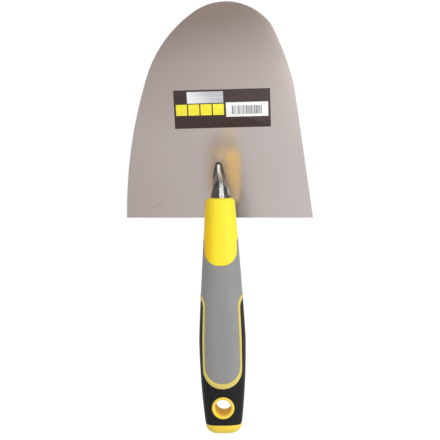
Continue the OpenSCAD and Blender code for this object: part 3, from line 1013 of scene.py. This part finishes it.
def eased(outline, cut):
    """Each corner of an outline as three points, so that it is a little round."""
    made = []
    count = len(outline)
    for k in range(count):
        here = np.array(outline[k])
        before = np.array(outline[k - 1]) - here
        after = np.array(outline[(k + 1) % count]) - here
        a = here + before / np.linalg.norm(before) * min(cut, np.linalg.norm(before) / 3)
        b = here + after / np.linalg.norm(after) * min(cut, np.linalg.norm(after) / 3)
        made += [a, (a + b) / 4 + here / 2, b]
    return made


def tang():
    """The forged neck with its bright front flat, and the prong inside the handle."""
    points = []
    for k in range(NECK_STEPS + 1):
        t = k / NECK_STEPS
        (ahead, up), (run_a, run_u) = neck_line(t)
        half_w = mix(FOOT_W, NECK_W, t ** NECK_WIDEN) / 2
        half_d = mix(NECK_D, FOOT_L, max(0.0, 1 - t / RISE_SHARE) ** FOOT_DRAW) / 2
        flat = mix(FLAT_FOOT_W, FLAT_TOP_W, t)
        lean = min(1.0, t / LEAN_SHARE)
        aside = (HANDLE_SHIFT + NECK_SHIFT) * lean * lean * (3 - 2 * lean)
        ring = eased(neck_outline(half_w, half_d, flat, FLAT_SHIFT * t), NECK_EDGE_CUT)
        points += [(aside + x, ahead + run_u * y, up - run_a * y) for x, y in ring]
    n = len(ring)
    # The neck's section turns clockwise, so its faces are turned over.
    faces = [(f[0], *reversed(f[1:])) for f in over_rings(NECK_STEPS + 1, n)]
    slots = [0] * len(faces)
    for k in range(NECK_STEPS):
        slots[k * n + n - 1] = 1
        # A face of the right shoulder takes the bright flat's finish: a painted highlight.
        if HIGHLIGHT_FROM < k / NECK_STEPS < HIGHLIGHT_TO:
            slots[k * n + HIGHLIGHT_FACE] = 1
    neck = turned(points, HANDLE_TURN) * MM

    angles = np.linspace(0, 2 * math.pi, PRONG_SIDES, endpoint=False)
    prong = [prong_section(angles, s) for s in (-PRONG_ROOT, 0.0, PRONG_L / 2, PRONG_L)]
    faces += over_rings(len(prong), PRONG_SIDES, len(points))
    slots += [0] * (len(faces) - len(slots))
    points = np.concatenate([neck, on_handle(np.concatenate(prong))])
    return mesh_piece("tang_forging", points, faces, [FORGED, GROUND], slots, 28)


def blade():
    """The blade's sheet, with its edges just broken."""
    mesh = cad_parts["blade"].data.copy()
    mesh.name = "blade_sheet"
    shape = bmesh.new()
    shape.from_mesh(mesh)
    bmesh.ops.remove_doubles(shape, verts=shape.verts, dist=1e-6)
    bmesh.ops.dissolve_limit(shape, angle_limit=math.radians(0.2), verts=shape.verts,
                             edges=shape.edges)
    rim = [e for e in shape.edges if len(e.link_faces) == 2 and e.calc_face_angle(0) > RIM_TURN]
    bmesh.ops.bevel(shape, geom=rim, offset=BLADE_EDGE * MM, segments=2, affect="EDGES", profile=0.5)
    shape.to_mesh(mesh)
    shape.free()
    mesh.materials.clear()
    mesh.materials.append(STEEL)
    set_smooth(mesh, 30)
    return put_in_scene("blade_sheet", mesh)


def label_place():
    """The label's own millimetres, from its middle, to the row frame's metres."""
    low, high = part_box("label")
    middle = ((low[0] + high[0]) / 2, (low[1] + high[1]) / 2)
    spot = Matrix.Translation((middle[0], middle[1], BLADE_T * MM))
    return spot @ Matrix.Rotation(LABEL_TURN, 4, "Z") @ Matrix.Scale(MM, 4)


def label():
    """The film, rounded at its corners, with its own chart for the print."""
    x, y = LABEL_W / 2 - LABEL_R, LABEL_H / 2 - LABEL_R
    middles = [(x, y, 0), (-x, y, 90), (-x, -y, 180), (x, -y, 270)]
    outline = [spot for cx, cy, turn in middles for spot in arc(cx, cy, LABEL_R, turn, turn + 90, 7)]
    levels = [(0.0, 0.0), (LABEL_T * 0.8, 0.0), (LABEL_T, LABEL_EDGE)]
    points = [(x - math.copysign(inset, x), y - math.copysign(inset, y), z)
              for z, inset in levels for x, y in outline]
    faces = over_rings(len(levels), len(outline))
    place = label_place()
    made = mesh_piece("label_film", [place @ Vector(p) for p in points], faces, [FILM], sharp=60)
    chart = made.data.uv_layers.new(name="print")
    for loop in made.data.loops:
        x, y, _ = points[loop.vertex_index]
        chart.data[loop.index].uv = (x / LABEL_W + 0.5, y / LABEL_H + 0.5)
    return made


# ======== pieces that repeat or follow a path ========

class Grower(Nodes):
    """A geometry node tree with a named input for each of its sizes."""

    def __init__(self, name, sizes):
        super().__init__(bpy.data.node_groups.new(name, "GeometryNodeTree"))
        self.sizes = sizes
        face = self.tree.interface
        face.new_socket("Geometry", in_out="INPUT", socket_type="NodeSocketGeometry")
        face.new_socket("Geometry", in_out="OUTPUT", socket_type="NodeSocketGeometry")
        for size, value in sizes.items():
            kind = "NodeSocketInt" if isinstance(value, int) else "NodeSocketFloat"
            face.new_socket(size, in_out="INPUT", socket_type=kind).default_value = value
        self.start = self.add("NodeGroupInput")

    def grow(self, name, last, material, place, source=None, sharp=40):
        """Ends the tree, and gives its result as a plain mesh at the origin."""
        solid = self.add("GeometryNodeRealizeInstances", {"Geometry": last})[0]
        painted = self.add("GeometryNodeSetMaterial", {"Geometry": solid, "Material": material})[0]
        self.add("NodeGroupOutput", {0: painted})
        mesh = source if source is not None else bpy.data.meshes.new(name + "_start")
        carrier = put_in_scene(name + "_start", mesh)
        modifier = carrier.modifiers.new("grow", "NODES")
        modifier.node_group = self.tree
        # A modifier's input goes by its socket's identifier, not by its name.
        for item in self.tree.interface.items_tree:
            if item.item_type == "SOCKET" and item.in_out == "INPUT" and item.name in self.sizes:
                modifier[item.identifier] = self.sizes[item.name]
        ready = carrier.evaluated_get(bpy.context.evaluated_depsgraph_get())
        result = bpy.data.meshes.new_from_object(ready)
        result.name = name
        result.transform(place)
        carrier.modifiers.remove(modifier)
        bpy.data.objects.remove(carrier)
        shape = bmesh.new()
        shape.from_mesh(result)
        bmesh.ops.remove_doubles(shape, verts=shape.verts, dist=1e-7)
        bmesh.ops.recalc_face_normals(shape, faces=shape.faces)
        shape.to_mesh(result)
        shape.free()
        result.materials.clear()
        result.materials.append(material)
        set_smooth(result, sharp)
        return put_in_scene(name, result)


def wire_loop(name, points):
    """A closed line of edges, as the start of a geometry node tree."""
    mesh = bpy.data.meshes.new(name)
    count = len(points)
    mesh.from_pydata([tuple(p) for p in points], [(k, (k + 1) % count) for k in range(count)], [])
    return mesh


def eyelet_ring(sizes, place, section):
    """A section swept round a circle, then drawn down towards its sides and its rear, as the
    handle's skin is."""
    g = Grower("swept_ring", sizes)
    profile = g.add("GeometryNodeMeshToCurve", {"Mesh": g.start["Geometry"]})[0]
    circle = g.add("GeometryNodeCurvePrimitiveCircle",
                   {"Radius": g.start["Ring radius"], "Resolution": g.start["Steps round"]})
    upright = g.add("GeometryNodeSetCurveNormal", {"Curve": circle["Curve"]}, mode="Z_UP")[0]
    swept = g.add("GeometryNodeCurveToMesh", {"Curve": upright, "Profile Curve": profile})[0]
    x, y, z = g.parts(g.add("GeometryNodeInputPosition")[0])
    side = g.product(x, x, g.start["Side droop"])
    keep = g.math("SUBTRACT", g.math("SUBTRACT", 1.0, side), g.product(y, g.start["Rear taper"]))
    spot = g.add("ShaderNodeCombineXYZ", {"X": x, "Y": y, "Z": g.product(z, keep)})[0]
    moved = g.add("GeometryNodeSetPosition", {"Geometry": swept, "Position": spot})[0]
    return g.grow("hang_eyelet_ring", moved, TRIM, place, wire_loop("eyelet_section", section))


def eyelet():
    """The ring round the hanging hole: a rounded lip on both sides, joined by the bore."""
    side_w, half = (float(size) for size in half_sizes(np.array(HANG_S)))
    lip = [(EYELET_R, -1.6), (EYELET_R + 0.12, -0.2), (EYELET_R + 0.1, 0.08), (EYELET_R - 0.1, 0.3),
           (EYELET_R - 0.45, 0.4), (EYELET_R - 0.9, 0.38), (HANG_R + 0.62, 0.22), (HANG_R + 0.32, 0.0),
           (HANG_R + 0.12, -0.35), (HANG_R + 0.02, -0.8), (HANG_R, -1.4)]
    upper = [(r - HANG_R, half + h) for r, h in lip]
    lower = [(r, -y) for r, y in reversed(upper)]
    section = [(r, y, 0.0) for r, y in upper + lower]
    power = float(power_at(HANG_S))
    droop = (1 - (1 - (EYELET_R / side_w) ** power) ** (1 / power)) / EYELET_R ** 2
    fall = float(half_sizes(np.array(HANG_S - 1))[1] - half_sizes(np.array(HANG_S + 1))[1]) / 2
    c, s = math.cos(HANDLE_TILT), math.sin(HANDLE_TILT)
    axes = Matrix(((1, 0, 0, HANDLE_SHIFT), (0, -c, s, HANDLE_AHEAD), (0, s, c, HANDLE_RISE),
                   (0, 0, 0, 1)))
    to_hole = Matrix.Translation((0, HANG_S, 0))
    place = Matrix.Scale(MM, 4) @ Matrix.Rotation(HANDLE_TURN, 4, "Z") @ axes @ to_hole
    sizes = {"Ring radius": HANG_R, "Steps round": EYELET_STEPS, "Side droop": droop,
             "Rear taper": fall / half}
    made = eyelet_ring(sizes, place, section)
    # The bore's faces take the brighter yellow, which is painted light.
    made.data.materials.append(BRIGHTENED_BORE_YELLOW)
    middle = place @ Vector((0, 0, 0))
    axis = (place @ Vector((0, 0, 1)) - middle).normalized()
    for face in made.data.polygons:
        off = face.center - middle
        height = off.dot(axis)
        away = (off - axis * height).length
        if away < (HANG_R + BORE_REACH) * MM and abs(height) < (half - BORE_SHORT) * MM:
            face.material_index = 1
    return made


def weld_path():
    """A closed line round the tang's foot, smoothed at its corners."""
    wide = 1 + WELD_OUT_X / (FOOT_W / 2)
    long = 1 + WELD_OUT_Y / (FOOT_L / 2)
    foot = neck_outline(FOOT_W / 2, FOOT_L / 2, FLAT_FOOT_W)
    path = [(x * wide, y * long, BLADE_T + WELD_UP) for x, y in foot]
    ring = evenly(np.array([*path, path[0]]), WELD_POINTS)[:-1]
    for _ in range(WELD_SMOOTHING):
        ring = (np.roll(ring, 1, axis=0) + 2 * ring + np.roll(ring, -1, axis=0)) / 4
    return ring


def weld():
    """The bead that joins the tang's foot to the blade, with the ripples that the arc leaves."""
    g = Grower("weld_ripples", {"Bead radius": 0.34, "Point spacing": 0.22, "Ripple length": 1.1,
                                "Ripple depth": 0.07, "Wander": 0.08, "Seed": 4})
    path = g.add("GeometryNodeMeshToCurve", {"Mesh": g.start["Geometry"]})[0]
    fine = g.add("GeometryNodeResampleCurve",
                 {"Curve": path, "Length": g.start["Point spacing"]}, mode="LENGTH")[0]
    along = g.add("GeometryNodeSplineParameter")["Length"]
    turns = g.math("DIVIDE", g.product(along, 2 * math.pi), g.start["Ripple length"])
    wander = g.add("FunctionNodeRandomValue", {"Seed": g.start["Seed"]}, data_type="FLOAT")[1]
    ripple = g.product(g.math("SINE", turns), g.start["Ripple depth"])
    size = g.sum(ripple, g.product(wander, g.start["Wander"]), 1.0)
    ring = g.add("GeometryNodeCurvePrimitiveCircle",
                 {"Radius": g.start["Bead radius"], "Resolution": 12})["Curve"]
    swept = g.add("GeometryNodeCurveToMesh", {"Curve": fine, "Profile Curve": ring, "Scale": size})[0]
    place = Matrix.Rotation(HANDLE_TURN, 4, "Z") @ Matrix.Scale(MM, 4)
    return g.grow("weld_bead_ripples", swept, WELD, place, wire_loop("foot_line", weld_path()), 60)


def label_bars():
    """Upright bars of uneven width on the label's white panel, as ink a little proud of it."""
    left, right, low, high = BARS
    corner_place = Matrix.Translation(((left - 0.5) * LABEL_W, ((low + high) / 2 - 0.5) * LABEL_H,
                                       LABEL_T + INK_T / 3))
    g = Grower("printed_bars", {"Bars": BAR_COUNT, "Step": (right - left) * LABEL_W / (BAR_COUNT - 1),
                                "Height": (high - low) * LABEL_H, "Ink thickness": INK_T,
                                "Thinnest": 0.3, "Widest": 0.95, "Seed": 7})
    step = g.add("ShaderNodeCombineXYZ", {"X": g.start["Step"]})[0]
    row = g.add("GeometryNodeMeshLine", {"Count": g.start["Bars"], "Offset": step}, mode="OFFSET")[0]
    bar = g.add("GeometryNodeMeshCube")[0]
    limits = {2: g.start["Thinnest"], 3: g.start["Widest"], "Seed": g.start["Seed"]}
    wide = g.add("FunctionNodeRandomValue", limits, data_type="FLOAT")[1]
    size = g.add("ShaderNodeCombineXYZ",
                 {"X": wide, "Y": g.start["Height"], "Z": g.start["Ink thickness"]})[0]
    placed = g.add("GeometryNodeInstanceOnPoints", {"Points": row, "Instance": bar, "Scale": size})[0]
    return g.grow("label_bars", placed, INK, label_place() @ corner_place, sharp=20)


# ======== putting it together ========

finish_piece(blade(), "blade_steel", "blade")
finish_piece(label(), "label_film", "label")
finish_piece(label_bars(), "label_film")
finish_piece(weld(), "weld_metal", "weld_bead")
finish_piece(tang(), "forged_steel", "tang")
finish_piece(handle_core(), "yellow_plastic", "handle_core")
finish_piece(grip_shell("grey_grip_moulding", IN_GREY, GREY), "grey_rubber", "grey_grip")
finish_piece(grip_shell("black_grip_moulding", IN_BLACK, BLACK), "black_rubber", "black_grip")
finish_piece(eyelet(), "yellow_plastic", "hang_eyelet")
finish_piece(butt_cap(), "yellow_plastic", "butt_cap")


# ======== floor, light and camera ========

def floor():
    """A wide pale floor that the camera sees nearly white."""
    mesh = bpy.data.meshes.new("floor")
    corners = [(-1, -1), (1, -1), (1, 1), (-1, 1)]
    mesh.from_pydata([(x * FLOOR_REACH, y * FLOOR_REACH, -FLOOR_DOWN) for x, y in corners], [],
                     [(0, 1, 2, 3)])
    made = put_in_scene("floor", mesh)
    material = bpy.data.materials.new("pale_floor")
    material.use_nodes = True
    material.node_tree.nodes.clear()
    f = Nodes(material.node_tree)
    plain = f.add("ShaderNodeBsdfDiffuse", {"Color": (FLOOR_PALE, FLOOR_PALE, FLOOR_PALE, 1)})[0]
    pale = f.add("ShaderNodeBsdfDiffuse", {"Color": (FLOOR_SHADE, FLOOR_SHADE, FLOOR_SHADE, 1)})[0]
    glow = f.add("ShaderNodeEmission", {"Color": (1, 1, 1, 1), "Strength": FLOOR_GLOW})[0]
    bright = f.add("ShaderNodeAddShader", {0: pale, 1: glow})[0]
    both = f.add("ShaderNodeMixShader", {0: f.seen_directly(), 1: plain, 2: bright})[0]
    f.add("ShaderNodeOutputMaterial", {"Surface": both})
    mesh.materials.append(material)


def lamp(name, place, width, power):
    """A square lamp that faces the handle."""
    data = bpy.data.lights.new(name, "AREA")
    data.shape = "RECTANGLE"
    data.size = width
    data.size_y = width
    data.energy = power
    made = put_in_scene(name, data)
    made.location = place
    made.rotation_euler = (Vector(LAMP_AIM) - Vector(place)).to_track_quat("-Z", "Y").to_euler()


def studio():
    """A white room that is dimmer as a light than it looks, and two lamps."""
    world = bpy.data.worlds.new("studio")
    bpy.context.scene.world = world
    world.use_nodes = True
    world.node_tree.nodes.clear()
    f = Nodes(world.node_tree)
    light = f.add("ShaderNodeBackground", {"Color": (1, 1, 1, 1), "Strength": ROOM_LIGHT})[0]
    white = f.add("ShaderNodeBackground", {"Color": (1, 1, 1, 1), "Strength": ROOM_WHITE})[0]
    both = f.add("ShaderNodeMixShader", {0: f.seen_directly(), 1: light, 2: white})[0]
    f.add("ShaderNodeOutputWorld", {"Surface": both})
    lamp("key", *KEY_LAMP)
    lamp("front", *FRONT_LAMP)


def camera():
    """The view from above the nose, 24 degrees off upright."""
    aim = Vector(CAMERA_AIM)
    ahead = Vector(CAMERA_AHEAD).normalized()
    up = Vector((0, math.cos(CAMERA_TILT), -math.sin(CAMERA_TILT)))
    right = ahead.cross(up).normalized()
    up = right.cross(ahead)
    data = bpy.data.cameras.new("camera")
    data.lens = CAMERA_LENS
    data.sensor_width = 36
    data.clip_start = 0.05
    made = put_in_scene("camera", data)
    turn = Matrix((right, up, -ahead)).transposed().to_4x4()
    made.matrix_world = Matrix.Translation(aim - ahead * CAMERA_DISTANCE) @ turn
    bpy.context.scene.camera = made


floor()
studio()
camera()
bpy.context.scene.view_settings.view_transform = "Standard"
